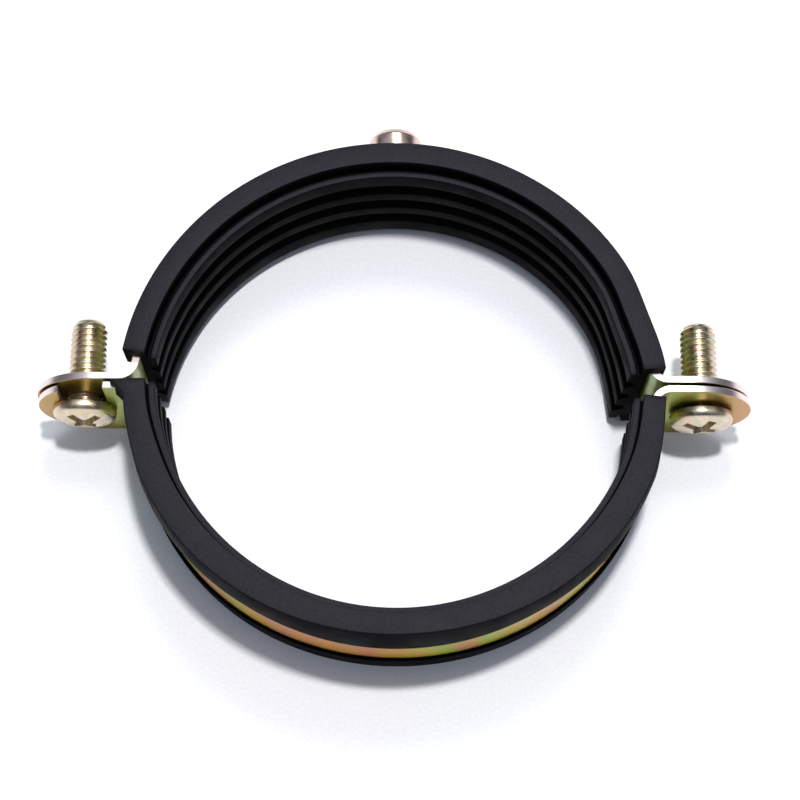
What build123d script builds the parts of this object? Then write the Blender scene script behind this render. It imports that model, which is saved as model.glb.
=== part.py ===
from build123d import *
import os
from math import asin, cos, degrees, hypot, pi, sin, sqrt

# Two-screw pipe clamp with rubber liners. Sizes are in millimetres.
# Z is the axis of the pipe, +Y points to the hanger boss, and the origin is the centre of the
# upper half's curve, halfway across the clamp's width.

# Ring
CREST_RADIUS = 38.25         # curvature of the liners' rib crests, set by the pipe
LINER_THICKNESS = 2.65       # rubber between the crests and the strip
BAND_THICKNESS = 1.2
BAND_WIDTH = 20.0
BEND_INSIDE = 2.2            # inside radius of the fold from ring to ear
BAND_INNER = CREST_RADIUS + LINER_THICKNESS
BAND_OUTER = BAND_INNER + BAND_THICKNESS

# Ears, and how the halves lie when the screws have drawn them together with no pipe between
UPPER_SETBACK = 2.75         # from each half's centre to its ears' mating faces
LOWER_SETBACK = 1.55
EAR_GAP = 0.4
SCREW_REACH = 8.1            # from the ring's outer face to the screws' axes
EAR_REACH = 7.8              # from the screws' axes to the ends of the ears
LOWER_SHIFT = 0.3            # sideways play taken up by the lower half
CLOSURE = UPPER_SETBACK + LOWER_SETBACK - EAR_GAP    # the lower half's centre above the upper's
SCREW_X = BAND_OUTER + SCREW_REACH
EAR_END = SCREW_X + EAR_REACH

# Liner section
LINER_FIT = 0.05             # clearance between rubber and steel
LINER_OVERHANG = 2.5         # past each edge of the strip
SHOULDER_DROP = 2.1          # from the side face down to the shoulder
SHOULDER_WIDTH = 0.95
NOTCH_DROP = 3.0             # from the side face down to the floor of the notch beside it
NOTCH_WIDTH = 0.68
LIP_REACH = 3.2              # how far the lips lap over the strip from its edges
LIP_THICKNESS = 1.25
UPPER_SIDE_COVER = 1.4       # rubber outside the strip, at the side faces and at the lips' free edges
UPPER_LIP_COVER = 1.2
LOWER_SIDE_COVER = 0.88
LOWER_LIP_COVER = 1.85       # these lips stand a little off the strip
GROOVE_PITCH = 5.4
GROOVE_MOUTH = 3.1
GROOVE_FLOOR = 1.1
GROOVE_DEPTH = 1.35
LINER_HALF_WIDTH = BAND_WIDTH / 2 + LINER_OVERHANG
LIP_EDGE = BAND_WIDTH / 2 - LIP_REACH

# Where the liners end, as angles from each half's centre line, seen with the boss at the top
UPPER_LINER_LEFT = 9.1
UPPER_LINER_RIGHT = 5.8
LOWER_LINER_LEFT = 3.6
LOWER_LINER_RIGHT = 5.9

# M6 screws with pan heads and cross recesses
SCREW_RADIUS = 2.95
THREAD_FIT = 0.05            # clearance in the tapped ears
HOLE_CLEARANCE = 0.55        # round the shank in the lower right ear
SLOT_CLEARANCE = 0.75        # beside the shank in the lower left ear
SCREW_LENGTH = 15.0
SCREW_TIP_TAPER = 0.75
SCREW_TIP_LENGTH = 1.3
HEAD_RADIUS = 5.15
HEAD_SIDE = 0.8
HEAD_HEIGHT = 3.7
HEAD_SHOULDER = 2.4          # radius between the head's side and its crown
SHOULDER_FLATS = (0, 0.5, 1)    # shares of that radius at which its turned flats meet
HEAD_GAP = 0.1               # between the heads and the lower ears
HEAD_FACE = CLOSURE - LOWER_SETBACK - BAND_THICKNESS - HEAD_GAP
RECESS_SPAN = 6.0
RECESS_FLOOR_SPAN = 2.6
RECESS_RIM = 0.6             # straight part of the wings' ends, below the top of the crown
RECESS_WIDTH = 1.35
RECESS_DEPTH = 2.6
HUB_RADIUS = 1.45
HUB_FLOOR_RADIUS = 0.87
LEFT_RECESS_TURN = 40.0
RIGHT_RECESS_TURN = 62.0

# Hanger boss, tapped M6
BOSS_RADIUS = 4.4
BOSS_HEIGHT = 8.4            # above the ring's outer face
BOSS_TIP_RADIUS = 3.65
BOSS_TIP_LENGTH = 1.1
WELD_WIDTH = 0.8
WELD_HEIGHT = 0.8
TAP_RADIUS = 2.5
TAP_COUNTERSINK = 0.5

CUT_PAST = 1.0               # how far the cutting tools run past the faces that they open


def bend_centre(setback):
    """Centre of the fold at the right-hand ear, in the half's own frame."""
    bend = BEND_INSIDE + BAND_THICKNESS / 2
    ring = BAND_INNER + BAND_THICKNESS / 2
    y = setback + BAND_THICKNESS / 2 + bend
    return sqrt((ring + bend) ** 2 - y ** 2), y


def fold_angle(setback):
    """Angle from the right-hand side, in radians, at which the ring runs into the fold."""
    bx, by = bend_centre(setback)
    return asin(by / hypot(bx, by))


def on_circle(x, y, radius, angle):
    """Point of a circle, with the angle in radians."""
    return x + radius * cos(angle), y + radius * sin(angle)


def strip_outline(setback, grow):
    """Plan of a half ring with its two ears, grown all round by a clearance."""
    bx, by = bend_centre(setback)
    tangent = fold_angle(setback)
    middle = (tangent + pi / 2) / 2
    inner = BAND_INNER - grow
    outer = BAND_OUTER + grow
    tight = BEND_INSIDE - grow
    loose = BEND_INSIDE + BAND_THICKNESS + grow
    end = EAR_END + grow
    outer_end = on_circle(0, 0, outer, tangent)
    inner_end = on_circle(0, 0, inner, tangent)
    tight_mid = on_circle(bx, by, tight, pi + middle)
    loose_mid = on_circle(bx, by, loose, pi + middle)
    with BuildSketch() as plan:
        with BuildLine():
            ThreePointArc(outer_end, (0, outer), (-outer_end[0], outer_end[1]))
            ThreePointArc((-outer_end[0], outer_end[1]), (-tight_mid[0], tight_mid[1]), (-bx, by - tight))
            Polyline((-bx, by - tight), (-end, by - tight), (-end, by - loose), (-bx, by - loose))
            ThreePointArc((-bx, by - loose), (-loose_mid[0], loose_mid[1]), (-inner_end[0], inner_end[1]))
            ThreePointArc((-inner_end[0], inner_end[1]), (0, inner), inner_end)
            ThreePointArc(inner_end, loose_mid, (bx, by - loose))
            Polyline((bx, by - loose), (end, by - loose), (end, by - tight), (bx, by - tight))
            ThreePointArc((bx, by - tight), tight_mid, outer_end)
        make_face()
    return plan.sketch


def half_band(setback):
    """Half ring with round-ended ears, before its holes are cut."""
    strip = extrude(strip_outline(setback, 0), BAND_WIDTH / 2, both=True)
    blank = extrude(Plane.XZ * SlotOverall(2 * EAR_END, BAND_WIDTH), BAND_OUTER + CUT_PAST, both=True)
    return strip & blank


def ear_bore(x, setback, radius):
    """Tool that drills one ear along Y."""
    middle = setback + BAND_THICKNESS / 2
    return Pos(x, middle, 0) * Rot(90, 0, 0) * Cylinder(radius, BAND_THICKNESS + 2 * CUT_PAST)


def upper_band():
    """Upper half: both ears are tapped, drawn here at the thread's crest."""
    half = half_band(UPPER_SETBACK)
    for x in (-SCREW_X, SCREW_X):
        half -= ear_bore(x, UPPER_SETBACK, SCREW_RADIUS + THREAD_FIT)
    return half


def place_lower(half):
    """Turn a half round and set it under the upper one."""
    return Pos(LOWER_SHIFT, CLOSURE, 0) * Rot(0, 0, 180) * half


def lower_band():
    """Lower half: a hole in the right ear, and in the left one a slot open at the top edge."""
    slot_radius = SCREW_RADIUS + SLOT_CLEARANCE
    half = half_band(LOWER_SETBACK)
    half -= ear_bore(-SCREW_X, LOWER_SETBACK, SCREW_RADIUS + HOLE_CLEARANCE)
    half -= ear_bore(SCREW_X, LOWER_SETBACK, slot_radius)
    mouth = Box(2 * slot_radius, BAND_THICKNESS + 2 * CUT_PAST, BAND_WIDTH / 2 + CUT_PAST)
    half -= Pos(SCREW_X, LOWER_SETBACK + BAND_THICKNESS / 2, (BAND_WIDTH / 2 + CUT_PAST) / 2) * mouth
    return place_lower(half)


def groove(centre):
    """Section of one groove between the ribs, as radius and height."""
    floor = CREST_RADIUS + GROOVE_DEPTH
    return [
        (CREST_RADIUS, centre - GROOVE_MOUTH / 2),
        (floor, centre - GROOVE_FLOOR / 2),
        (floor, centre + GROOVE_FLOOR / 2),
        (CREST_RADIUS, centre + GROOVE_MOUTH / 2),
    ]


def side_section(side_cover, lip_cover):
    """Section from the shoulder round the side wall to the lip's inner corner, at the upper side.

    It ends inside the strip's thickness, where the strip's own shape is cut away later.
    """
    shoulder = LINER_HALF_WIDTH - SHOULDER_DROP
    notch = LINER_HALF_WIDTH - NOTCH_DROP
    notch_inner = CREST_RADIUS + SHOULDER_WIDTH
    wall_inner = notch_inner + NOTCH_WIDTH
    side_outer = BAND_OUTER + side_cover
    lip_outer = BAND_OUTER + lip_cover
    return [
        (CREST_RADIUS, shoulder),
        (notch_inner, shoulder),
        (notch_inner, notch),
        (wall_inner, notch),
        (wall_inner, LINER_HALF_WIDTH),
        (side_outer, LINER_HALF_WIDTH),
        (lip_outer, LIP_EDGE),
        (lip_outer - LIP_THICKNESS, LIP_EDGE),
        (BAND_INNER + BAND_THICKNESS / 2, BAND_WIDTH / 2),
    ]


def sweep_round(outline, start, stop):
    """Solid of a section of radii and heights, between two angles from the right-hand side."""
    face = make_face(Polyline(*[(r, 0, z) for r, z in outline], close=True))
    return Rot(0, 0, start) * revolve(face, Axis.Z, stop - start)


def flared_end(cover, start, stop, setback):
    """Side walls and lips between two angles of a fold, pushed out by the strip inside them."""
    flap = [
        (BAND_INNER, LIP_EDGE),
        (SCREW_X, LIP_EDGE),
        (SCREW_X, LINER_HALF_WIDTH),
        (BAND_INNER, LINER_HALF_WIDTH),
    ]
    both = sweep_round(flap, start, stop) + sweep_round([(r, -z) for r, z in flap], start, stop)
    return both & extrude(strip_outline(setback, cover), LINER_HALF_WIDTH, both=True)


def liner(side_cover, lip_cover, start, stop, setback):
    """Rubber channel round a half ring, between two angles counted from its right-hand side."""
    ribs = groove(-GROOVE_PITCH) + groove(0) + groove(GROOVE_PITCH)
    upper = side_section(side_cover, lip_cover)
    lower = [(r, -z) for r, z in reversed(upper)]
    channel = sweep_round(lower + ribs + upper, start, stop)
    fold = degrees(fold_angle(setback))
    for first, last in ((start, fold), (180 - fold, stop)):
        if first < last:
            channel += flared_end(min(side_cover, lip_cover), first, last, setback)
    steel = extrude(strip_outline(setback, LINER_FIT), BAND_WIDTH / 2 + LINER_FIT, both=True)
    return channel - steel


def upper_liner():
    """Liner of the upper half."""
    return liner(UPPER_SIDE_COVER, UPPER_LIP_COVER, UPPER_LINER_RIGHT, 180 - UPPER_LINER_LEFT, UPPER_SETBACK)


def lower_liner():
    """Liner of the lower half, built like the upper one and turned round."""
    body = liner(LOWER_SIDE_COVER, LOWER_LIP_COVER, LOWER_LINER_LEFT, 180 - LOWER_LINER_RIGHT, LOWER_SETBACK)
    return place_lower(body)


def hanger_boss():
    """Tapped boss with a weld toe, seated on the round of the upper half."""
    end = BAND_OUTER + BOSS_HEIGHT
    profile = make_face(Polyline(
        (TAP_RADIUS, BAND_INNER),
        (BOSS_RADIUS + WELD_WIDTH, BAND_INNER),
        (BOSS_RADIUS + WELD_WIDTH, BAND_OUTER),
        (BOSS_RADIUS, BAND_OUTER + WELD_HEIGHT),
        (BOSS_RADIUS, end - BOSS_TIP_LENGTH),
        (BOSS_TIP_RADIUS, end),
        (TAP_RADIUS + TAP_COUNTERSINK, end),
        (TAP_RADIUS, end - TAP_COUNTERSINK),
        close=True))
    return revolve(profile, Axis.Y) - Cylinder(BAND_OUTER, BAND_WIDTH)


def recess(turn):
    """Tool for the cross recess, standing on the head's crown and pointing into it."""
    top = HEAD_HEIGHT + CUT_PAST
    rim = HEAD_HEIGHT - RECESS_RIM
    floor = HEAD_HEIGHT - RECESS_DEPTH
    wing = make_face(Polyline(
        (-RECESS_SPAN / 2, top),
        (-RECESS_SPAN / 2, rim),
        (-RECESS_FLOOR_SPAN / 2, floor),
        (RECESS_FLOOR_SPAN / 2, floor),
        (RECESS_SPAN / 2, rim),
        (RECESS_SPAN / 2, top),
        close=True))
    blade = extrude(wing, RECESS_WIDTH / 2, both=True)
    hub = Pos(0, (top + floor) / 2, 0) * Rot(-90, 0, 0) * Cone(HUB_FLOOR_RADIUS, HUB_RADIUS, top - floor)
    return Rot(0, turn, 0) * (blade + Rot(0, 90, 0) * blade + hub)


def crown_join():
    """Point where the head's shoulder radius runs into the dome of its crown."""
    across = HEAD_RADIUS - HEAD_SHOULDER
    rise = HEAD_HEIGHT - HEAD_SIDE
    dome = (across ** 2 + rise ** 2 - HEAD_SHOULDER ** 2) / (2 * (rise - HEAD_SHOULDER))
    share = dome / (dome - HEAD_SHOULDER)
    dome_centre = HEAD_HEIGHT - dome
    return across * share, dome_centre + (HEAD_SIDE - dome_centre) * share


def screw(x, turn):
    """Pan-head screw. The thread's helix is left off and its crest radius kept."""
    tip_radius = SCREW_RADIUS - SCREW_TIP_TAPER
    shoulder = TangentArc((HEAD_RADIUS, HEAD_SIDE), crown_join(), tangent=(0, 1))
    outline = Polyline(
        (0, HEAD_HEIGHT),
        (0, -SCREW_LENGTH),
        (tip_radius, -SCREW_LENGTH),
        (SCREW_RADIUS, SCREW_TIP_LENGTH - SCREW_LENGTH),
        (SCREW_RADIUS, 0),
        (HEAD_RADIUS, 0),
        *[shoulder @ share for share in SHOULDER_FLATS])
    dome = TangentArc(crown_join(), (0, HEAD_HEIGHT), tangent=shoulder % 1)
    body = revolve(make_face([*outline.edges(), dome]), Axis.Y)
    return Pos(x, HEAD_FACE, 0) * Rot(0, 0, 180) * (body - recess(turn))


os.makedirs("parts", exist_ok=True)
export_step(upper_band(), "parts/upper_band.step")
export_step(lower_band(), "parts/lower_band.step")
export_step(upper_liner(), "parts/upper_liner.step")
export_step(lower_liner(), "parts/lower_liner.step")
export_step(hanger_boss(), "parts/hanger_boss.step")
export_step(screw(-SCREW_X, LEFT_RECESS_TURN), "parts/left_screw.step")
export_step(screw(SCREW_X, RIGHT_RECESS_TURN), "parts/right_screw.step")
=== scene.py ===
"""Looks of a rubber lined pipe clamp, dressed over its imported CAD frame.

The clamp lies on its side faces. Z is the axis of the pipe, +Y points to the hanger boss, and the
origin is the centre of the upper half's curve. Sizes are in millimetres until MM turns them into
the scene's metres. Angles are in degrees unless a name says otherwise.
"""

import logging
import math
from collections.abc import Iterable
from dataclasses import dataclass
from enum import Enum
from typing import Any, ClassVar

import bmesh
import bpy
from mathutils import Matrix, Vector, noise


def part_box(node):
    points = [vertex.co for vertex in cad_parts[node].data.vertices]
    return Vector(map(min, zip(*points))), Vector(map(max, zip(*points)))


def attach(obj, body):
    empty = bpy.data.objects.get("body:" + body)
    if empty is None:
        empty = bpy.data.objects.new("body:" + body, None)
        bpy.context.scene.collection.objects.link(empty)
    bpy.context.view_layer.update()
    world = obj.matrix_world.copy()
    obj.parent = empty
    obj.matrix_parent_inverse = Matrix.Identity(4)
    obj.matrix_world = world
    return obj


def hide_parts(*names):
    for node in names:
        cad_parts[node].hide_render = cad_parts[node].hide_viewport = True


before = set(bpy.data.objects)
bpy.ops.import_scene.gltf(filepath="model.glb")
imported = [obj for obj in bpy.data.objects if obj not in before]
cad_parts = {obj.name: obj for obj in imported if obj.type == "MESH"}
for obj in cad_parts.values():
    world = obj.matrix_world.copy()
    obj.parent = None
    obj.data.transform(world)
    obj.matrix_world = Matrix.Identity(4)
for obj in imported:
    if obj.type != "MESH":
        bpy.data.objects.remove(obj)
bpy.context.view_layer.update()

MM = 0.001
LOG = logging.getLogger("pipe_clamp")
Section = list[tuple[float, float]]
Film = tuple[tuple[float, str], ...]

# Mesh attributes that the finishes read
# Painted top light and dust: how far a rubber face is painted lighter for facing up
DUST_AND_TOP_LIGHT = "dust_and_top_light"
# Pale tint on the strip's thin edges, partly a painted highlight of the light from above
PALE_EDGE_AND_HIGHLIGHT = "pale_edge_and_highlight"

# Noise rarely leaves these spans, so maps from it start and end there
NOISE_SPAN = {"From Min": 0.3, "From Max": 0.7}
SMUDGE_SPAN = {"From Min": 0.35, "From Max": 0.65}
# Vertices nearer than this, in millimetres, are one vertex
CAD_MERGE = 0.001
# Faces of a CAD mesh that differ by less than this are one flat
FLAT_ANGLE = 0.2
# Edges that turn by more than this stay sharp on a new mesh, and on a swept liner
SHARP_ANGLE = 40.0
LINER_SHARP_ANGLE = 50.0

# Tints of the passivated film by their place along X in millimetres
STRIP_FILM = (
    (-58.0, "b8884c"), (-51.0, "a48c2c"), (-43.0, "90a040"), (-37.5, "d8e0b0"), (-34.0, "bcb850"),
    (-31.0, "eaa070"), (-28.5, "eaa878"), (-26.0, "d8bc48"), (-24.5, "c0d048"), (-21.5, "ecb43c"),
    (-17.2, "f0a070"), (-15.0, "f0b044"), (-12.0, "ee9a64"), (-9.5, "f0ac44"), (-3.5, "f09468"),
    (-1.0, "f0a850"), (2.5, "ecbc3c"), (6.0, "d8cc3c"), (9.0, "b4d038"), (12.0, "f09c68"),
    (14.0, "d8c048"), (17.0, "b8d03c"), (21.0, "e6c048"), (26.0, "eea070"), (28.5, "d8c448"),
    (30.5, "bcd048"), (33.5, "f0a850"), (36.5, "c8dca0"), (43.0, "90a040"), (51.0, "a48c2c"),
    (58.0, "b8844c"))
SCREW_FILM = (
    (-58.0, "d8c0a8"), (-52.0, "e0d0bc"), (-49.0, "c8c49c"), (-46.0, "dcc8ac"), (46.0, "dcc4b0"),
    (50.0, "c4c4a0"), (53.0, "e0cfbc"), (58.0, "d8bfae"))
BOSS_FILM = (
    (-58.0, "e2c4b8"), (-2.0, "e6ccc0"), (0.5, "d2c8ae"), (3.0, "e8c8c0"), (58.0, "e2c4b8"))


class Slot(Enum):
    """The record's material slots."""

    STRIP = "zinc_steel"
    SCREW = "screw_steel"
    RUBBER = "liner_rubber"


class Body(Enum):
    """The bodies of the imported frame."""

    UPPER = "upper_half"
    LOWER = "lower_half"
    LEFT = "left_fastener"
    RIGHT = "right_fastener"


class Joining(Enum):
    """What a boolean does with its tool."""

    CUT = "DIFFERENCE"
    ADD = "UNION"


# ---- Small helpers ----


def linear(colour: str) -> tuple[float, float, float, float]:
    """Turns an sRGB hex colour into the linear RGBA that shader sockets take.

    Args:
        colour: Six hex digits, such as "c9a15a".

    Returns:
        Red, green, blue and an alpha of 1, linear.
    """
    parts = [int(colour[i:i + 2], 16) / 255 for i in (0, 2, 4)]
    red, green, blue = (c / 12.92 if c <= 0.04045 else ((c + 0.055) / 1.055) ** 2.4 for c in parts)
    return red, green, blue, 1.0


def per_mm(size: float) -> float:
    """Texture scale at which one cell of a noise is about size millimetres across."""
    return 1 / (size * MM)


def share_of(value: float, low: float, high: float) -> float:
    """How far a value has come from low to high, held between 0 and 1."""
    return min(max((value - low) / (high - low), 0.0), 1.0)


def from_end(angle: float) -> float:
    """Angle from the nearer end of a half ring's centre line."""
    return min(angle, 180.0 - angle)


def turned(angle: float, size: int = 3) -> Matrix:
    """Rotation about Z by an angle in degrees, as a matrix of 3 or 4 rows."""
    return Matrix.Rotation(math.radians(angle), size, "Z")


def add_node(
    tree: bpy.types.NodeTree,
    kind: str,
    options: dict[str, Any] | None = None,
    values: dict[str | int, Any] | None = None,
    links: dict[str | int, bpy.types.NodeSocket] | None = None,
    stops: Iterable[tuple[float, str]] = (),
) -> bpy.types.Node:
    """Adds a node with its settings and its incoming links.

    Args:
        tree: The tree that gets the node.
        kind: The node's type, without the ShaderNode in front.
        options: Properties of the node itself.
        values: Socket values by socket name or number.
        links: Sockets of other nodes by the name or number of the socket that they feed.
        stops: Places and sRGB hex colours of a colour ramp, in rising order.

    Returns:
        The new node.
    """
    node = tree.nodes.new("ShaderNode" + kind)
    for name, value in (options or {}).items():
        setattr(node, name, value)
    for key, value in (values or {}).items():
        node.inputs[key].default_value = value
    for key, socket in (links or {}).items():
        tree.links.new(socket, node.inputs[key])
    for number, (place, colour) in enumerate(stops):
        elements = node.color_ramp.elements
        element = elements[number] if number < len(elements) else elements.new(place)
        element.position = place
        element.color = linear(colour)
    return node


def new_finish(name: str) -> tuple[bpy.types.Material, bpy.types.NodeTree, bpy.types.Node]:
    """Starts a node material.

    Args:
        name: The finish that it stands for.

    Returns:
        The material, its tree and its Principled shader.
    """
    material = bpy.data.materials.new(name)
    material.use_nodes = True
    return material, material.node_tree, material.node_tree.nodes["Principled BSDF"]


def add_outline(mesh: bmesh.types.BMesh, outline: Section, closed: bool = False) -> list[Any]:
    """Adds a section in the XZ plane.

    Args:
        mesh: The mesh that gets it.
        outline: Radius and height of each corner.
        closed: Whether the section is a face, and not an open line.

    Returns:
        Its vertices, and after them its edges when it is an open line.
    """
    verts = [mesh.verts.new((radius, 0.0, height)) for radius, height in outline]
    if closed:
        mesh.faces.new(verts)
        return verts
    return verts + [mesh.edges.new(pair) for pair in zip(verts, verts[1:])]


def smooth_below(mesh: bmesh.types.BMesh, angle: float) -> None:
    """Shades a mesh smooth, except across edges that turn by more than an angle.

    Args:
        mesh: The mesh whose faces and edges are marked.
        angle: The largest turn that stays smooth.
    """
    for face in mesh.faces:
        face.smooth = True
    for edge in mesh.edges:
        edge.smooth = len(edge.link_faces) == 2 and edge.calc_face_angle(0.0) < math.radians(angle)


def object_from(
    name: str, mesh: bmesh.types.BMesh, smooth_angle: float = SHARP_ANGLE
) -> bpy.types.Object:
    """Makes a scene object from a bmesh, and frees the bmesh.

    Args:
        name: Name of the object and its mesh.
        mesh: The shape, in millimetres.
        smooth_angle: Edges that turn by more than this stay sharp.

    Returns:
        The object, at the origin, in metres.
    """
    bmesh.ops.scale(mesh, vec=(MM, MM, MM), verts=mesh.verts)
    smooth_below(mesh, smooth_angle)
    data = bpy.data.meshes.new(name)
    mesh.to_mesh(data)
    mesh.free()
    piece = bpy.data.objects.new(name, data)
    bpy.context.scene.collection.objects.link(piece)
    return piece


def copy_of_node(node: str, name: str) -> bpy.types.Object:
    """Copies a CAD node's mesh into a new object of its own.

    Args:
        node: The CAD node.
        name: Name of the copy.

    Returns:
        The copy, with its corners merged.
    """
    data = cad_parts[node].data.copy()
    data.name = name
    data.materials.clear()
    mesh = bmesh.new()
    mesh.from_mesh(data)
    bmesh.ops.remove_doubles(mesh, verts=mesh.verts, dist=CAD_MERGE * MM)
    mesh.to_mesh(data)
    mesh.free()
    piece = bpy.data.objects.new(name, data)
    bpy.context.scene.collection.objects.link(piece)
    return piece


def join_with(body: bpy.types.Object, tool: bpy.types.Object, joining: Joining) -> None:
    """Applies a boolean to a body's mesh and removes the tool.

    Args:
        body: The object whose mesh changes.
        tool: The other solid.
        joining: Whether the tool is cut away or added.
    """
    modifier = body.modifiers.new("cut", "BOOLEAN")
    modifier.operation = joining.value
    modifier.object = tool
    modifier.solver = "EXACT"
    bpy.context.view_layer.update()
    depsgraph = bpy.context.evaluated_depsgraph_get()
    result = bpy.data.meshes.new_from_object(body.evaluated_get(depsgraph))
    body.modifiers.remove(modifier)
    old = body.data
    body.data = result
    bpy.data.meshes.remove(old)
    bpy.data.objects.remove(tool)


def ease_edges(piece: bpy.types.Object, width: float, segments: int, angle: float) -> None:
    """Rounds the sharp edges of a piece's mesh and smooths its shading.

    Args:
        piece: The object whose mesh changes.
        width: Width of the rounding, in millimetres.
        segments: Faces across it.
        angle: Edges that turn by more than this are rounded.
    """
    mesh = bmesh.new()
    mesh.from_mesh(piece.data)
    bmesh.ops.remove_doubles(mesh, verts=mesh.verts, dist=CAD_MERGE * MM)
    bmesh.ops.dissolve_limit(
        mesh, angle_limit=math.radians(FLAT_ANGLE), verts=mesh.verts, edges=mesh.edges)
    limit = math.radians(angle)
    sharp = [e for e in mesh.edges if len(e.link_faces) == 2 and e.calc_face_angle(0.0) > limit]
    bmesh.ops.bevel(
        mesh, geom=sharp, offset=width * MM, affect="EDGES", segments=segments, profile=0.5,
        material=-1, clamp_overlap=True)
    smooth_below(mesh, angle)
    mesh.to_mesh(piece.data)
    mesh.free()
    weighted = piece.modifiers.new("flat_faces", "WEIGHTED_NORMAL")
    weighted.keep_sharp = True


# ---- Finishes ----


@dataclass(frozen=True)
class YellowZinc:
    """Cold-rolled steel, zinc plated and yellow passivated.

    The film is thin, so the eye sees it shift from straw gold to olive and salmon along the
    strip. It scatters part of the light, so the round isn't a clear mirror. The thin edges get
    a paler, pinkish tint, which in part is a painted highlight of the light from above.

    Attributes:
        film: Tints by their place along X.
        bare_and_highlight: Tint of the thin edges, pale in part as a painted highlight.
        span: Length that the tints are spread over.
        wander: How far the borders between the tints stray along X.
        patch: Size of the patches that make them stray.
        metallic: Metallic share of the round, which rises to 1 on the ears.
        hazy_to: Distance from the middle, along X, at which that rise starts.
        haze_fade: Distance over which it rises.
        cloudy: Strength of the small clouds in tone and roughness.
        relief: Strength of the grain's relief, or 0 for none.
    """

    name: str
    film: Film
    bare_and_highlight: str = "f2e2dc"
    span: float = 116.0
    wander: float = 2.5
    patch: float = 5.0
    metallic: float = 1.0
    hazy_to: float = 41.0
    haze_fade: float = 4.0
    roughness: float = 0.28
    cloudy: float = 1.0
    cloud: float = 1.6
    grain: float = 0.3
    relief: float = 0.0

    # Change of tone and roughness from the darkest to the brightest cloud
    TONE: ClassVar[tuple[float, float]] = (-0.1, 0.06)
    HAZE: ClassVar[tuple[float, float]] = (-0.06, 0.1)
    GRAIN_DEPTH: ClassVar[float] = 0.01

    def clouds(self, centre: float, change: tuple[float, float]) -> dict[str, float]:
        """Values of a map from the cloud noise to a setting.

        Args:
            centre: The setting without any cloud.
            change: What the darkest and the brightest cloud add at full strength.

        Returns:
            Socket values of the map.
        """
        low, high = (centre + step * self.cloudy for step in change)
        return {**NOISE_SPAN, "To Min": low, "To Max": high}

    def tint(self, tree: bpy.types.NodeTree, where: bpy.types.NodeSocket) -> bpy.types.NodeSocket:
        """Adds the film's colour along the piece, with a pale tint on the thin edges, partly a
        painted highlight.

        Args:
            tree: The material's tree.
            where: Object coordinates.

        Returns:
            The colour.
        """
        patches = add_node(
            tree, "TexNoise", values={"Scale": per_mm(self.patch), "Detail": 2.0},
            links={"Vector": where})
        along = add_node(tree, "SeparateXYZ", links={"Vector": where})
        place = add_node(
            tree, "MapRange",
            values={"From Min": -self.span / 2 * MM, "From Max": self.span / 2 * MM},
            links={"Value": along.outputs["X"]})
        stray = self.wander / self.span
        drift = add_node(
            tree, "MapRange", values={**NOISE_SPAN, "To Min": -stray, "To Max": stray},
            links={"Value": patches.outputs["Fac"]})
        film = add_node(
            tree, "Math", {"operation": "ADD"},
            links={0: place.outputs["Result"], 1: drift.outputs["Result"]})
        colour = add_node(
            tree, "ValToRGB", links={"Fac": film.outputs["Value"]},
            stops=[((x + self.span / 2) / self.span, tint) for x, tint in self.film])
        # Thin edges take the pale tint, which partly stands in for their highlight
        pale_edge_and_highlight = add_node(tree, "Attribute", {"attribute_name": PALE_EDGE_AND_HIGHLIGHT})
        bare_and_highlight = add_node(
            tree, "Mix", {"data_type": "RGBA"}, {7: linear(self.bare_and_highlight)},
            {0: pale_edge_and_highlight.outputs["Fac"], 6: colour.outputs["Color"]})
        return bare_and_highlight.outputs[2]

    def build(self) -> bpy.types.Material:
        """Builds the material.

        Returns:
            The material, reading Object coordinates only.
        """
        material, tree, shader = new_finish(self.name)
        where = add_node(tree, "TexCoord").outputs["Object"]
        along = add_node(tree, "SeparateXYZ", links={"Vector": where})
        aside = add_node(tree, "Math", {"operation": "ABSOLUTE"}, links={0: along.outputs["X"]})
        clear = add_node(
            tree, "MapRange",
            values={"From Min": self.hazy_to * MM, "From Max": (self.hazy_to + self.haze_fade) * MM,
                    "To Min": self.metallic, "To Max": 1.0},
            links={"Value": aside.outputs["Value"]})
        tree.links.new(clear.outputs["Result"], shader.inputs["Metallic"])
        cloud = add_node(
            tree, "TexNoise", values={"Scale": per_mm(self.cloud), "Detail": 1.0},
            links={"Vector": where})
        tone = add_node(
            tree, "MapRange", values=self.clouds(1.0, self.TONE),
            links={"Value": cloud.outputs["Fac"]})
        toned = add_node(
            tree, "VectorMath", {"operation": "SCALE"},
            links={0: self.tint(tree, where), "Scale": tone.outputs["Result"]})
        tree.links.new(toned.outputs["Vector"], shader.inputs["Base Color"])
        rough = add_node(
            tree, "MapRange", values=self.clouds(self.roughness, self.HAZE),
            links={"Value": cloud.outputs["Fac"]})
        tree.links.new(rough.outputs["Result"], shader.inputs["Roughness"])
        if self.relief:
            grain = add_node(
                tree, "TexNoise", values={"Scale": per_mm(self.grain), "Detail": 2.0},
                links={"Vector": where})
            bump = add_node(
                tree, "Bump", values={"Strength": self.relief, "Distance": self.GRAIN_DEPTH * MM},
                links={"Height": grain.outputs["Fac"]})
            tree.links.new(bump.outputs["Normal"], shader.inputs["Normal"])
        return material


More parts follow.
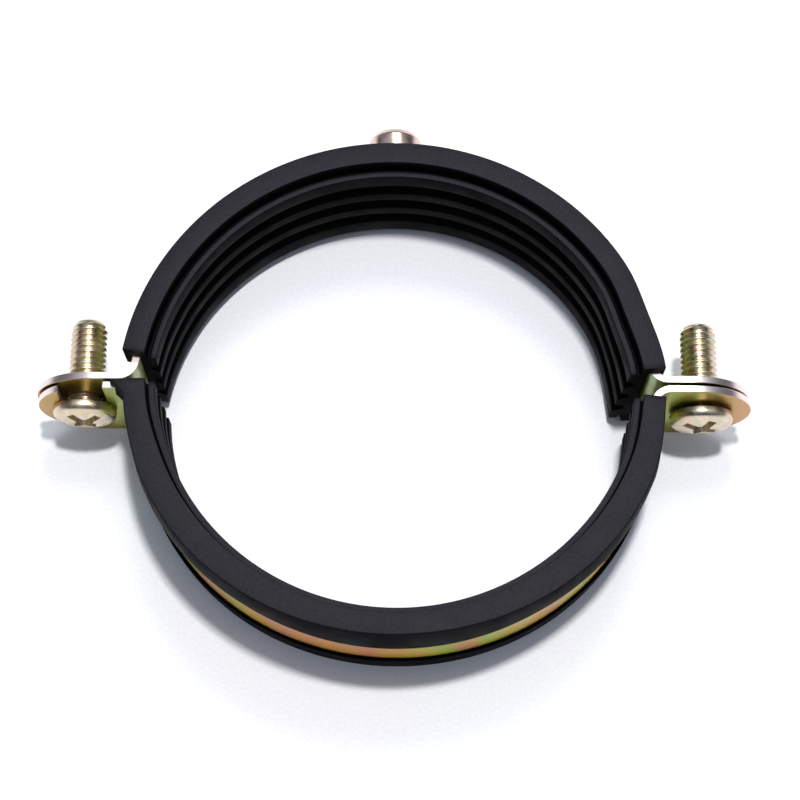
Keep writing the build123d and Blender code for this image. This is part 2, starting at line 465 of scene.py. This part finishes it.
@dataclass(frozen=True)
class MouldedRubber:
    """Extruded black EPDM, matt, fine grained and a little dusty, with painted top light on its
    side faces.

    Attributes:
        skin: Colour of the rubber away from the painted top light, on the ribs and the channel.
        side: Darkest colour of the side faces, painted lighter as top light, under the dust mottle.
        dust_and_top_light: Palest colour of the side faces: painted top light with dust.
        dust_at: Noise at which the dust is thinnest and thickest.
        shine: Specular level of the plain rubber, and of the side faces with painted top light and
            dust.
        roughness: Mean roughness.
        haze: What the smudges add to the roughness, from the least to the most.
    """

    name: str
    skin: str = "060608"
    side: str = "17171b"
    dust_and_top_light: str = "2a2a30"
    dust_at: tuple[float, float] = (0.16, 0.42)
    shine: tuple[float, float] = (0.03, 0.12)
    roughness: float = 0.58
    haze: tuple[float, float] = (-0.06, 0.1)
    grit: float = 0.3
    grit_depth: float = 0.03
    relief: float = 0.25
    smudge: float = 6.0

    def build(self) -> bpy.types.Material:
        """Builds the material.

        Returns:
            The material, reading Object coordinates and the attribute of painted top light and
            dust.
        """
        material, tree, shader = new_finish(self.name)
        # Up-facing side faces get paler, shinier rubber: painted top light, with a dust mottle
        dusty_and_lit = add_node(tree, "Attribute", {"attribute_name": DUST_AND_TOP_LIGHT}).outputs["Fac"]
        plain_shine, dusty_lit_shine = self.shine
        shine = add_node(
            tree, "MapRange", values={"To Min": plain_shine, "To Max": dusty_lit_shine},
            links={"Value": dusty_and_lit})
        tree.links.new(shine.outputs["Result"], shader.inputs["Specular IOR Level"])
        where = add_node(tree, "TexCoord").outputs["Object"]
        grit = add_node(
            tree, "TexNoise",
            values={"Scale": per_mm(self.grit), "Detail": 4.0, "Roughness": 0.65},
            links={"Vector": where})
        smudge = add_node(
            tree, "TexNoise",
            values={"Scale": per_mm(self.smudge), "Detail": 4.0, "Roughness": 0.6},
            links={"Vector": where})
        both = add_node(
            tree, "Math", {"operation": "MULTIPLY"},
            links={0: grit.outputs["Fac"], 1: smudge.outputs["Fac"]})
        colour = add_node(
            tree, "ValToRGB", links={"Fac": both.outputs["Value"]},
            stops=zip(self.dust_at, (self.side, self.dust_and_top_light)))
        skin = add_node(
            tree, "Mix", {"data_type": "RGBA"}, {6: linear(self.skin)},
            {0: dusty_and_lit, 7: colour.outputs["Color"]})
        tree.links.new(skin.outputs[2], shader.inputs["Base Color"])
        smooth, rough = (self.roughness + step for step in self.haze)
        haze = add_node(
            tree, "MapRange",
            values={**SMUDGE_SPAN, "To Min": smooth, "To Max": rough},
            links={"Value": smudge.outputs["Fac"]})
        tree.links.new(haze.outputs["Result"], shader.inputs["Roughness"])
        bump = add_node(
            tree, "Bump", values={"Strength": self.relief, "Distance": self.grit_depth * MM},
            links={"Height": grit.outputs["Fac"]})
        tree.links.new(bump.outputs["Normal"], shader.inputs["Normal"])
        return material


# ---- Pieces ----


@dataclass(frozen=True)
class Flap:
    """How far one side wall and its lip stand off the strip, and where the lip ends."""

    side_cover: float
    lip_cover: float
    lip_edge: float = 6.8
    lip_thickness: float = 1.25


@dataclass(frozen=True)
class Looseness:
    """How far the rubber and the strip of one half stray from their true form.

    Attributes:
        flare: Share of the strip's fold that the flaps follow at the half's ends.
        sag: How far the right-hand arm bows in at its top.
        curl: How far that arm's free rubber leans in at its underside.
        shift: How far the middle of the half lies to the left.
        bulge: How far the strip and the lips swell halfway up each arm.
        stand: How far the upper lip stands off the strip at the middle.
        ripple: Height of the waves along the lips.
        stand_width: Angle over which the stand dies out from the middle.
        shift_ends: Angles from an end between which the shift grows.
        swell_ends: The same for the bulge.
        swell_waves: How fast the bulge comes and goes with the angle.
        bow: Angle and width of the sag.
        roll: Angle and width of the curl.
        grip: Rubber outside the strip that doesn't lean.
    """

    flare: float = 1.0
    sag: float = 0.0
    curl: float = 0.0
    shift: float = 0.0
    bulge: float = 0.0
    stand: float = 0.0
    ripple: float = 0.12
    stand_width: float = 28.0
    shift_ends: tuple[float, float] = (7.0, 21.0)
    swell_ends: tuple[float, float] = (5.0, 21.0)
    swell_waves: float = 1.6
    bow: tuple[float, float] = (18.5, 8.0)
    roll: tuple[float, float] = (6.0, 17.0)
    grip: float = 0.3


@dataclass(frozen=True)
class HalfRing:
    """Sizes of one half of the clamp, shared by its strip and its liner.

    Angles are counted from the half's centre line at its right-hand side, before it is turned.

    Attributes:
        setback: From the half's centre to its ears' mating faces.
        start: Angle at which the liner starts.
        stop: Angle at which it ends.
        centre: Where the half's centre is in the row frame.
        turn: How far the half is turned about Z.
        notch: Width of the notch beside the side face.
        crest: Radius of the liner's rib crests.
        rubber: Rubber between the crests and the strip.
        steel: Thickness of the strip.
        bend: Inside radius of the fold from ring to ear.
    """

    setback: float
    start: float
    stop: float
    top_flap: Flap
    under_flap: Flap
    loose: Looseness
    centre: tuple[float, float] = (0.0, 0.0)
    turn: float = 0.0
    notch: float = 0.68
    crest: float = 38.25
    rubber: float = 2.65
    steel: float = 1.2
    bend: float = 2.2
    half_width: float = 12.5

    # The right-hand arm, as the angles between which it may lean
    ARM: ClassVar[tuple[float, float]] = (-5.0, 90.0)

    @property
    def inner(self) -> float:
        """Radius of the strip's inner face."""
        return self.crest + self.rubber

    @property
    def outer(self) -> float:
        """Radius of the strip's outer face."""
        return self.inner + self.steel

    def strip_face(self, angle: float) -> float:
        """Radius of the strip's outer face along a ray, also where it folds out to the ear.

        Args:
            angle: The ray, from the nearer end of the half's centre line.

        Returns:
            The radius in millimetres.
        """
        reach = self.inner + self.steel + self.bend
        rise = self.setback + self.steel + self.bend
        across = math.sqrt(reach ** 2 - rise ** 2)
        ray = math.radians(angle)
        if ray >= math.atan2(rise, across):
            return self.outer
        offset = across * math.sin(ray) - rise * math.cos(ray)
        along = across * math.cos(ray) + rise * math.sin(ray)
        return along - math.sqrt(max(self.bend ** 2 - offset ** 2, 0.0))

    def middle(self, angle: float) -> float:
        """Share from 1 at the middle of the half down to 0 towards its ends."""
        return math.exp(-((angle - 90.0) / self.loose.stand_width) ** 2)

    def drift(self, angle: float) -> float:
        """Shift of the section along X, which dies out smoothly before the folds."""
        grown = share_of(from_end(angle), *self.loose.shift_ends)
        return -self.loose.shift * grown ** 2 * (3 - 2 * grown)

    def swell(self, angle: float) -> float:
        """How far the strip and its lips stand outside a true circle."""
        wave = math.sin(math.radians(self.loose.swell_waves * (angle - 90.0))) ** 2
        return self.loose.bulge * wave * share_of(from_end(angle), *self.loose.swell_ends)

    def lean(self, point: Vector) -> None:
        """Moves a point of the liner's right-hand arm inwards, where no pipe holds the rubber.

        Args:
            point: The point in the half's own frame, in millimetres, changed in place.
        """
        angle = math.degrees(math.atan2(point.y, point.x))
        first, last = self.ARM
        if not first < angle < last:
            return
        loose = self.loose
        low = share_of(point.z, self.half_width, -self.half_width)
        bow_at, bow_width = loose.bow
        roll_at, roll_width = loose.roll
        bow = loose.sag * math.exp(-((angle - bow_at) / bow_width) ** 2)
        roll = loose.curl / (1 + ((angle - roll_at) / roll_width) ** 2)
        free = share_of(math.hypot(point.x, point.y), self.outer + loose.grip, self.crest)
        point.x -= bow * (1 - low) + roll * low * free

    def place(self) -> Matrix:
        """Matrix that sets the half in the row frame, in millimetres."""
        return Matrix.Translation((*self.centre, 0.0)) @ turned(self.turn, 4)


@dataclass
class Piece:
    """A dressed piece, the CAD node that it replaces and the body that it rides on."""

    name: str
    node: str
    body: Body

    def mount(self, piece: bpy.types.Object, slot: Slot, material: bpy.types.Material) -> None:
        """Gives the piece its finish and its body, and hides the CAD node that it replaces.

        Args:
            piece: The finished object.
            slot: The record's material slot; not used.
            material: Its finish.
        """
        piece.data.materials.clear()
        piece.data.materials.append(material)
        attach(piece, self.body.value)
        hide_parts(self.node)
        LOG.info("%s: %d faces on %s", piece.name, len(piece.data.polygons), self.body.value)

    def cad_box(self) -> tuple[Vector, Vector]:
        """Lowest and highest corner of the CAD node, in millimetres."""
        low, high = (Vector(corner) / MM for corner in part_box(self.node))
        return low, high


@dataclass
class Liner(Piece):
    """Ribbed rubber channel pushed over one half of the strip.

    Attributes:
        shoulder_drop: From the side face down to the shoulder inside it.
        notch_drop: From the side face down to the floor of the notch.
        notch_draft: How far the notch's inner wall leans.
        lip_bevel: How far the inside of a lip slopes back from its free edge.
        mouth: Width of a groove at the crests.
        floor: Width of a groove at its floor.
        wave_size: Length that one wave of the lips takes, about.
        dust_and_top_light_drop: How far under the shoulder the painted top light and dust reach.
        dust_and_top_light_tilt: Normal's Z share at which painted top light and dust start and are
            full.
    """

    half: HalfRing
    fit: float = 0.05
    strip_half_width: float = 10.0
    shoulder_drop: float = 2.1
    shoulder_width: float = 0.95
    notch_drop: float = 3.0
    notch_draft: float = 0.1
    lip_bevel: float = 1.6
    pitch: float = 5.4
    mouth: float = 3.1
    floor: float = 1.1
    depth: float = 1.35
    rounding: float = 0.16
    outer_rounding: float = 0.22
    steps: int = 132
    wave_size: float = 1 / 0.09
    dust_and_top_light_drop: float = 0.5
    dust_and_top_light_tilt: tuple[float, float] = (0.55, 0.95)

    # Where the noise is read for the upper lip, so that the lower lip has other waves
    UPPER_WAVE: ClassVar[float] = 40.0
    # Radius past the strip at which a corner is one of the side face's outer ones
    WALL: ClassVar[float] = 0.5
    SWEEP_MERGE: ClassVar[float] = 0.0005

    def side(self, flap: Flap) -> Section:
        """Section of one side, from the shoulder round the wall and lip into the channel.

        Args:
            flap: The side's own covers.

        Returns:
            Radius and height of the corners, for a side that faces up.
        """
        half = self.half
        top = half.half_width
        shoulder = half.crest + self.shoulder_width
        wall_inner = shoulder + half.notch
        channel = half.outer + self.fit
        lip_outer = half.outer + flap.lip_cover
        lip_inner = max(lip_outer - flap.lip_thickness, channel)
        edge = self.strip_half_width + self.fit
        return [
            (half.crest, top - self.shoulder_drop),
            (shoulder, top - self.shoulder_drop),
            (shoulder + self.notch_draft, top - self.notch_drop),
            (wall_inner, top - self.notch_drop),
            (wall_inner, top),
            (half.outer + flap.side_cover, top),
            (lip_outer, flap.lip_edge),
            (lip_inner, flap.lip_edge),
            (channel, flap.lip_edge + self.lip_bevel),
            (channel, edge),
            (half.inner - self.fit, edge),
        ]

    def groove(self, centre: float) -> Section:
        """Section of one groove between the ribs.

        Args:
            centre: Height of the groove's middle.

        Returns:
            Radius and height of its corners, in rising order.
        """
        crest = self.half.crest
        return [
            (crest, centre - self.mouth / 2),
            (crest + self.depth, centre - self.floor / 2),
            (crest + self.depth, centre + self.floor / 2),
            (crest, centre + self.mouth / 2),
        ]

    def section(self) -> Section:
        """Whole closed section, as radius and height."""
        under = [(radius, -height) for radius, height in reversed(self.side(self.half.under_flap))]
        ribs = [corner for row in (-1, 0, 1) for corner in self.groove(row * self.pitch)]
        return under + ribs + self.side(self.half.top_flap)

    def spread(self, vert: bmesh.types.BMVert) -> None:
        """Gives a vertex the looseness of the rubber.

        The flaps go out where the strip folds or swells, the upper lip stands off it at the
        middle of the half, and the whole section follows the half's drift.

        Args:
            vert: The vertex in the half's own frame, in millimetres.
        """
        x, y, z = vert.co
        half = self.half
        radius = math.hypot(x, y)
        angle = math.degrees(math.atan2(y, x))
        share = share_of(radius, half.inner, half.outer)
        if share > 0:
            flap = half.top_flap if z > 0 else half.under_flap
            fold = half.loose.flare * (half.strip_face(from_end(angle)) - half.outer)
            seed = Vector((x, y, self.UPPER_WAVE if z > 0 else 0.0))
            wave = noise.noise(seed / self.wave_size) * half.loose.ripple
            stand = half.loose.stand if z > 0 else 0.0
            middle = half.middle(angle)
            lip = share_of(abs(z), half.half_width, flap.lip_edge)
            lift = lip * (stand * middle + wave * (1 - middle))
            grown = radius + share * (fold + half.swell(angle) + lift)
            vert.co.x *= grown / radius
            vert.co.y *= grown / radius
        half.lean(vert.co)
        vert.co.x += half.drift(angle)

    def mark_dust_and_top_light(self, mesh: bmesh.types.BMesh) -> None:
        """Writes each vertex's painted top light and dust: the side faces get it, the ribs and the
        channel don't.

        Args:
            mesh: The placed liner, in millimetres.
        """
        mesh.normal_update()
        dust_and_top_light = mesh.verts.layers.float.new(DUST_AND_TOP_LIGHT)
        inside = self.half.half_width - self.shoulder_drop - self.dust_and_top_light_drop
        for vert in mesh.verts:
            # Faces that look up are painted lighter, standing in for the light from above
            tilt = share_of(abs(vert.normal.z), *self.dust_and_top_light_tilt)
            vert[dust_and_top_light] = tilt if abs(vert.co.z) > inside else 0.0

    def build(self, material: bpy.types.Material) -> None:
        """Builds and dresses the liner.

        Args:
            material: Its finish.
        """
        half = self.half
        mesh = bmesh.new()
        verts = add_outline(mesh, self.section(), closed=True)
        wall = half.outer + self.WALL
        outer = [v for v in verts if v.co.x > wall and abs(v.co.z) > self.strip_half_width]
        inner = [v for v in verts if v not in outer]
        for corners, offset in ((inner, self.rounding), (outer, self.outer_rounding)):
            bmesh.ops.bevel(
                mesh, geom=corners, offset=offset, affect="VERTICES", segments=3, profile=0.5,
                material=-1, clamp_overlap=True)
        bmesh.ops.rotate(mesh, verts=mesh.verts, matrix=turned(half.start))
        bmesh.ops.spin(
            mesh, geom=list(mesh.faces), axis=(0, 0, 1), steps=self.steps, use_merge=False,
            angle=math.radians(half.stop - half.start))
        bmesh.ops.remove_doubles(mesh, verts=mesh.verts, dist=self.SWEEP_MERGE)
        for vert in mesh.verts:
            self.spread(vert)
        bmesh.ops.transform(mesh, matrix=half.place(), verts=mesh.verts)
        bmesh.ops.recalc_face_normals(mesh, faces=mesh.faces)
        self.mark_dust_and_top_light(mesh)
        self.mount(object_from(self.name, mesh, LINER_SHARP_ANGLE), Slot.RUBBER, material)


@dataclass
class Strip(Piece):
    """Folded steel strip of one half, with its edges eased.

    Attributes:
        ear_start: Distance from the middle past which the strip is an ear.
        pale_edge_tilt: Tilt at which a face counts in full as a thin edge with the pale, partly
            painted-highlight tint.
    """

    half: HalfRing
    edge: float = 0.16
    sharp_angle: float = 35.0
    ear_start: float = 46.0
    pale_edge_tilt: float = 2 / 3

    def bow(self, piece: bpy.types.Object) -> None:
        """Takes the strip's round through the half's drift and swell, and leaves the ears.

        Args:
            piece: The strip, whose mesh changes.
        """
        place = self.half.place()
        back = place.inverted()
        for vert in piece.data.vertices:
            point = back @ (vert.co / MM)
            angle = math.degrees(math.atan2(point.y, point.x))
            radius = math.hypot(point.x, point.y)
            if 0 < angle < 180 and radius < self.ear_start:
                grown = radius + self.half.swell(angle)
                point.x = point.x * grown / radius + self.half.drift(angle)
                point.y *= grown / radius
                vert.co = (place @ point) * MM

    def mark_pale_edges_and_highlight(self, piece: bpy.types.Object) -> None:
        """Writes which faces are the blank's cut edges, which get a pale tint that is partly a
        painted highlight.

        Args:
            piece: The strip.
        """
        # Edge faces get the pale tint, partly painted highlight
        layer = piece.data.attributes.new(PALE_EDGE_AND_HIGHLIGHT, "FLOAT", "FACE")
        for face in piece.data.polygons:
            on_ear = abs(face.center.x) >= self.ear_start * MM
            tilt = 1 - abs(face.normal.y) if on_ear else abs(face.normal.z)
            layer.data[face.index].value = share_of(tilt, 0.0, self.pale_edge_tilt)

    def build(self, material: bpy.types.Material) -> None:
        """Builds and dresses the strip from the CAD solid's own form.

        Args:
            material: Its finish.
        """
        piece = copy_of_node(self.node, self.name)
        ease_edges(piece, self.edge, 3, self.sharp_angle)
        self.bow(piece)
        self.mark_pale_edges_and_highlight(piece)
        self.mount(piece, Slot.STRIP, material)


@dataclass
class Thread:
    """Metric thread along Z, swept as one helical rib with a number of steps in each turn."""

    crest: float
    root: float
    pitch: float
    low: float
    high: float
    steps: int = 56

    # Turns swept past the two ends before the rod is cut to length
    SPARE_TURNS: ClassVar[int] = 3
    LEAD_TURNS: ClassVar[int] = 2
    TURN_MERGE: ClassVar[float] = 0.002

    def build(self) -> bmesh.types.BMesh:
        """Builds the threaded rod as a closed solid.

        Returns:
            The rod's mesh in millimetres, along Z from low to high.
        """
        mesh = bmesh.new()
        start = self.low - self.LEAD_TURNS * self.pitch
        flat = self.pitch / 8
        flank = self.pitch / 2
        rib = add_outline(mesh, [
            (self.root, start), (self.root, start + flat), (self.crest, start + flank),
            (self.crest, start + flank + flat), (self.root, start + self.pitch)])
        turns = math.ceil((self.high - self.low) / self.pitch) + self.SPARE_TURNS
        bmesh.ops.spin(
            mesh, geom=rib, axis=(0, 0, 1), dvec=(0, 0, self.pitch / self.steps),
            angle=math.tau * turns, steps=turns * self.steps, use_merge=False)
        bmesh.ops.remove_doubles(mesh, verts=mesh.verts, dist=self.TURN_MERGE)
        for height, outward in ((self.low, -1.0), (self.high, 1.0)):
            cut = bmesh.ops.bisect_plane(
                mesh, geom=mesh.verts[:] + mesh.edges[:] + mesh.faces[:], dist=0.0001,
                plane_co=(0, 0, height), plane_no=(0, 0, outward), clear_outer=True)
            rim = [item for item in cut["geom_cut"] if isinstance(item, bmesh.types.BMEdge)]
            bmesh.ops.contextual_create(mesh, geom=rim)
        bmesh.ops.recalc_face_normals(mesh, faces=mesh.faces)
        return mesh


@dataclass
class PanScrew(Piece):
    """M6 pan-head screw with a cross recess, placed by its CAD solid.

    Attributes:
        turn: Direction of the recess about the screw's axis.
        drop: How far the head stands off the place of the CAD head.
        head_side: Height of the head's straight side.
        head_break: Broken edge of the bearing face.
        shoulder: Radius between side and crown.
        seat_depth: From the CAD crown's top to the bearing face.
        neck: How far the shank reaches up into the head.
        tip_round: Power that rounds the tip's taper.
        recess_above: How far the recess tool reaches above the crown.
        recess_mouth: Length and width of a blade of that tool at its top.
        recess_floor: The same at its floor.
    """

    turn: float
    drop: float = 0.0
    crest: float = 2.97
    root: float = 2.42
    pitch: float = 1.0
    head_radius: float = 5.15
    head_side: float = 0.7
    head_height: float = 2.45
    head_break: float = 0.12
    shoulder: float = 1.1
    seat_depth: float = 3.7
    neck: float = 0.2
    tip_length: float = 1.5
    tip_radius: float = 2.1
    tip_round: float = 0.6
    recess_above: float = 0.6
    recess_depth: float = 1.9
    recess_mouth: tuple[float, float] = (9.0, 1.7)
    recess_floor: tuple[float, float] = (2.6, 1.05)
    hub_mouth: float = 1.6
    hub_floor: float = 0.85
    edge: float = 0.06
    sharp_angle: float = 32.0

    SHOULDER_STEPS: ClassVar[int] = 9
    DOME_STEPS: ClassVar[int] = 6
    ROUND_STEPS: ClassVar[int] = 72
    HUB_STEPS: ClassVar[int] = 24

    @property
    def recess_span(self) -> tuple[float, float]:
        """Heights of the recess tool's floor and top."""
        return self.head_height - self.recess_depth, self.head_height + self.recess_above

    def head_outline(self) -> Section:
        """Half section of the head above its bearing face.

        Returns:
            Radius and height, from the axis round the side and the crown back to the axis.
        """
        across = self.head_radius - self.shoulder
        rise = self.head_height - self.head_side
        dome = (across ** 2 + rise ** 2 - self.shoulder ** 2) / (2 * (rise - self.shoulder))
        lean = math.atan2(across, dome - rise)
        points = [
            (0.0, 0.0), (self.head_radius - self.head_break, 0.0),
            (self.head_radius, self.head_break)]
        for i in range(self.SHOULDER_STEPS + 1):
            a = (math.pi / 2 - lean) * i / self.SHOULDER_STEPS
            points.append((
                across + self.shoulder * math.cos(a), self.head_side + self.shoulder * math.sin(a)))
        for i in range(1, self.DOME_STEPS + 1):
            a = lean * (1 - i / self.DOME_STEPS)
            points.append((dome * math.sin(a), self.head_height - dome + dome * math.cos(a)))
        return points

    def head(self) -> bmesh.types.BMesh:
        """Turns the head as a solid of revolution along Z.

        Returns:
            The head without its recess, in millimetres.
        """
        mesh = bmesh.new()
        bmesh.ops.spin(
            mesh, geom=add_outline(mesh, self.head_outline()), axis=(0, 0, 1), angle=math.tau,
            steps=self.ROUND_STEPS, use_merge=True)
        bmesh.ops.remove_doubles(mesh, verts=mesh.verts, dist=CAD_MERGE)
        bmesh.ops.recalc_face_normals(mesh, faces=mesh.faces)
        return mesh

    def blade(self, turn: float) -> bmesh.types.BMesh:
        """Makes one tapered blade of the recess tool, pointing down into the crown.

        Args:
            turn: Its direction about the head's axis.

        Returns:
            The blade, in millimetres.
        """
        mesh = bmesh.new()
        floor, top = self.recess_span
        verts = bmesh.ops.create_cube(mesh, size=1.0)["verts"]
        for vert in verts:
            high = vert.co.z > 0
            length, width = self.recess_mouth if high else self.recess_floor
            vert.co = Vector((vert.co.x * length, vert.co.y * width, top if high else floor))
        bmesh.ops.rotate(mesh, verts=verts, matrix=turned(turn))
        return mesh

    def hub(self) -> bmesh.types.BMesh:
        """Makes the tapered middle of the recess tool.

        Returns:
            The cone, in millimetres.
        """
        mesh = bmesh.new()
        floor, top = self.recess_span
        bmesh.ops.create_cone(
            mesh, cap_ends=True, segments=self.HUB_STEPS, radius1=self.hub_floor,
            radius2=self.hub_mouth, depth=top - floor)
        bmesh.ops.translate(mesh, vec=(0, 0, (top + floor) / 2), verts=mesh.verts)
        return mesh

    def shank(self, length: float) -> bmesh.types.BMesh:
        """Makes the threaded shank below the head, with its tapered tip.

        Args:
            length: From the bearing face to the tip.

        Returns:
            The shank, in millimetres, pointing down from the bearing face.
        """
        mesh = Thread(self.crest, self.root, self.pitch, -length, self.neck).build()
        for vert in mesh.verts:
            radius = math.hypot(vert.co.x, vert.co.y)
            depth = max(vert.co.z + length, 0.0)
            if radius == 0 or depth > self.tip_length:
                continue
            taper = (depth / self.tip_length) ** self.tip_round
            limit = self.tip_radius + (self.crest - self.tip_radius) * taper
            if radius > limit:
                vert.co.x *= limit / radius
                vert.co.y *= limit / radius
        return mesh

    def build(self, material: bpy.types.Material) -> None:
        """Builds and dresses the screw where its CAD solid is.

        Args:
            material: Its finish.
        """
        low, high = self.cad_box()
        centre = (low + high) / 2
        seat = low.y + self.seat_depth - self.drop
        piece = object_from(self.name, self.head())
        for tool in (self.blade(self.turn), self.blade(self.turn + 90), self.hub()):
            join_with(piece, object_from("recess_tool", tool), Joining.CUT)
        join_with(piece, object_from("shank_tool", self.shank(high.y - seat)), Joining.ADD)
        ease_edges(piece, self.edge, 2, self.sharp_angle)
        stand = Matrix.Translation(Vector((centre.x, seat, centre.z)) * MM)
        piece.data.transform(stand @ Matrix.Rotation(math.pi / 2, 4, "X"))
        self.mount(piece, Slot.SCREW, material)


@dataclass
class HangerBoss(Piece):
    """Tapped boss welded to the round of the upper half. The tap overruns both its ends."""

    crest: float = 3.0
    root: float = 2.46
    pitch: float = 1.0
    overrun: float = 1.0
    edge: float = 0.08
    sharp_angle: float = 35.0

    def build(self, material: bpy.types.Material) -> None:
        """Cuts the thread into a copy of the CAD solid and dresses it.

        Args:
            material: Its finish.
        """
        low, high = self.cad_box()
        centre = (low + high) / 2
        piece = copy_of_node(self.node, self.name)
        thread = Thread(
            self.crest, self.root, self.pitch, low.y - self.overrun, high.y + self.overrun)
        tap = object_from("tap_tool", thread.build())
        lay = Matrix.Translation(Vector((centre.x, 0, centre.z)) * MM)
        tap.data.transform(lay @ Matrix.Rotation(-math.pi / 2, 4, "X"))
        join_with(piece, tap, Joining.CUT)
        ease_edges(piece, self.edge, 2, self.sharp_angle)
        self.mount(piece, Slot.STRIP, material)


# ---- Studio ----


@dataclass(frozen=True)
class Lamp:
    """Square soft lamp that looks at the clamp, with its side in millimetres and its watts."""

    name: str
    place: tuple[float, float, float]
    size: float
    power: float

    def build(self) -> None:
        """Hangs the lamp."""
        data = bpy.data.lights.new(self.name, "AREA")
        data.shape = "SQUARE"
        data.size = self.size * MM
        data.energy = self.power
        lamp = bpy.data.objects.new(self.name, data)
        lamp.location = Vector(self.place) * MM
        lamp.rotation_euler = (-Vector(self.place)).to_track_quat("-Z", "Y").to_euler()
        bpy.context.scene.collection.objects.link(lamp)


@dataclass
class Studio:
    """Pale floor, soft lamps and the camera.

    Attributes:
        card: Darkest and palest colour of the card on the floor.
        card_at: Noise at which those colours are reached.
        eye: Where the camera is.
        aim: What it looks at.
        sky: Colour of the room's light.
        horizon: Strength of that light from the side.
        zenith: Its strength from straight above.
        gather: Power that gathers it overhead.
    """

    floor_height: float = -12.5
    floor_size: float = 4000.0
    card: tuple[str, str] = ("f0f1f4", "f8f8fa")
    card_at: tuple[float, float] = (0.35, 0.65)
    card_grain: float = 0.5
    card_roughness: float = 0.8
    card_shine: float = 0.1
    eye: tuple[float, float, float] = (2.02, -113.57, 326.23)
    aim: tuple[float, float, float] = (1.15, 3.05, 0.0)
    lens: float = 95.41
    sky: str = "e4ecff"
    horizon: float = 0.12
    zenith: float = 0.95
    gather: float = 4.0
    lamps: tuple[Lamp, ...] = (
        Lamp("top_lamp", (60.0, 60.0, 900.0), 60.0, 6.0),
        Lamp("back_lamp", (60.0, 420.0, 760.0), 250.0, 2.4),
    )

    def floor(self) -> None:
        """Adds the floor, a matt white card that keeps the clamp's shadow."""
        mesh = bmesh.new()
        bmesh.ops.create_grid(mesh, x_segments=1, y_segments=1, size=self.floor_size / 2)
        bmesh.ops.translate(mesh, vec=(0, 0, self.floor_height), verts=mesh.verts)
        piece = object_from("floor", mesh)
        material, tree, shader = new_finish("matt_card")
        where = add_node(tree, "TexCoord").outputs["Object"]
        grain = add_node(
            tree, "TexNoise", values={"Scale": per_mm(self.card_grain), "Detail": 3.0},
            links={"Vector": where})
        colour = add_node(
            tree, "ValToRGB", links={"Fac": grain.outputs["Fac"]},
            stops=zip(self.card_at, self.card))
        tree.links.new(colour.outputs["Color"], shader.inputs["Base Color"])
        shader.inputs["Roughness"].default_value = self.card_roughness
        shader.inputs["Specular IOR Level"].default_value = self.card_shine
        piece.data.materials.append(material)

    def world(self) -> None:
        """Sets the light of the room, which comes mostly from overhead."""
        world = bpy.data.worlds.new("room")
        bpy.context.scene.world = world
        world.use_nodes = True
        tree = world.node_tree
        back = tree.nodes["Background"]
        back.inputs["Color"].default_value = linear(self.sky)
        where = add_node(tree, "TexCoord").outputs["Generated"]
        ray = add_node(tree, "SeparateXYZ", links={"Vector": where})
        height = add_node(
            tree, "Math", {"operation": "POWER", "use_clamp": True}, {1: self.gather},
            {0: ray.outputs["Z"]})
        rise = add_node(
            tree, "MapRange", values={"To Min": self.horizon, "To Max": self.zenith},
            links={"Value": height.outputs["Value"]})
        tree.links.new(rise.outputs["Result"], back.inputs["Strength"])

    def camera(self) -> None:
        """Adds the camera."""
        data = bpy.data.cameras.new("camera")
        data.lens = self.lens
        data.sensor_width = 36.0
        data.clip_start = 0.01
        camera = bpy.data.objects.new("camera", data)
        eye = Vector(self.eye) * MM
        look = (Vector(self.aim) * MM - eye).to_track_quat("-Z", "Y")
        camera.matrix_world = Matrix.Translation(eye) @ look.to_matrix().to_4x4()
        bpy.context.scene.collection.objects.link(camera)
        bpy.context.scene.camera = camera

    def build(self) -> None:
        """Sets up the whole studio."""
        self.floor()
        self.world()
        for lamp in self.lamps:
            lamp.build()
        self.camera()
        bpy.context.scene.view_settings.view_transform = "Standard"


# ---- The clamp ----


def upper_ring() -> HalfRing:
    """Upper half: its flaps lie close to the strip, and its right-hand arm bows in."""
    snug = Flap(side_cover=1.4, lip_cover=1.2)
    return HalfRing(
        setback=2.75, start=5.8, stop=170.9, top_flap=snug, under_flap=snug,
        loose=Looseness(flare=0.0, sag=0.6, curl=2.1))


def lower_ring() -> HalfRing:
    """Lower half: it lies a little askew, and its upper lip stands off the strip."""
    return HalfRing(
        setback=1.55, start=2.7, stop=174.1,
        top_flap=Flap(side_cover=0.88, lip_cover=1.18),
        under_flap=Flap(side_cover=0.25, lip_cover=0.6, lip_edge=7.2, lip_thickness=0.6),
        loose=Looseness(curl=0.8, shift=0.35, bulge=0.75, stand=0.64),
        centre=(0.3, 3.9), turn=180.0, notch=0.3)


def main() -> None:
    """Builds every piece in order."""
    logging.basicConfig(level=logging.INFO, format="%(message)s")
    upper, lower = upper_ring(), lower_ring()
    strip = YellowZinc("yellow_zinc_strip", STRIP_FILM, metallic=0.25, cloudy=0.0).build()
    bolt = YellowZinc(
        "yellow_zinc_screw", SCREW_FILM, wander=9.0, patch=3.0, roughness=0.3, relief=0.1).build()
    boss = YellowZinc("yellow_zinc_boss", BOSS_FILM, wander=6.0, patch=3.0).build()
    rubber = MouldedRubber("black_epdm").build()
    Liner("upper_liner_rubber", "upper_liner", Body.UPPER, upper).build(rubber)
    Liner("lower_liner_rubber", "lower_liner", Body.LOWER, lower).build(rubber)
    Strip("upper_strip", "upper_band", Body.UPPER, upper).build(strip)
    Strip("lower_strip", "lower_band", Body.LOWER, lower).build(strip)
    PanScrew("left_pan_screw", "left_screw", Body.LEFT, turn=40.0).build(bolt)
    PanScrew("right_pan_screw", "right_screw", Body.RIGHT, turn=62.0, drop=0.42).build(bolt)
    HangerBoss("hanger_boss_threaded", "hanger_boss", Body.UPPER).build(boss)
    Studio().build()


if __name__ == "__main__":
    main()
